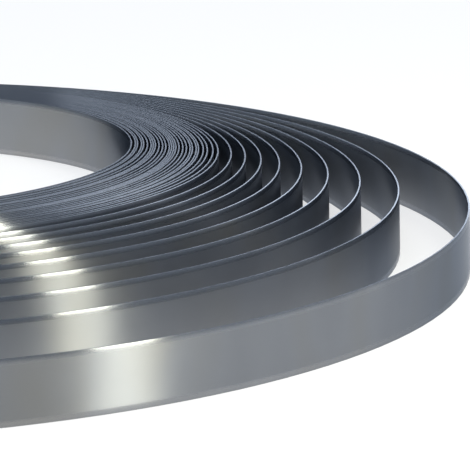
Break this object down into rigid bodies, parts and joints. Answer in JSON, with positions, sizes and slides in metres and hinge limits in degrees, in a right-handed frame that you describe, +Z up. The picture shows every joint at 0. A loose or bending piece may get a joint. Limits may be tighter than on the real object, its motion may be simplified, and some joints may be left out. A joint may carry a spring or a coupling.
{
  "type": "coil of stainless steel strip",
  "caption": "Flat coil of narrow stainless steel strip lying on its side: close inner turns round an open bore, outer turns sprung apart towards the front, free outer end.",
  "frame": {"origin": "on the bore axis, in the plane of the strip's lower edge that lies on the floor", "axes": "+Z up along the bore axis; +Y to the back of the coil, where the turns lie closest; the loose turns open towards -Y"},
  "size_m": [0.4335, 0.4332, 0.019],
  "materials": {
    "stainless_strip": "cold rolled, smooth satin, brighter along the cut edges"
  },
  "bodies": {
    "root": {"strip_coil": "stainless_strip"}
  },
  "joints": []
}
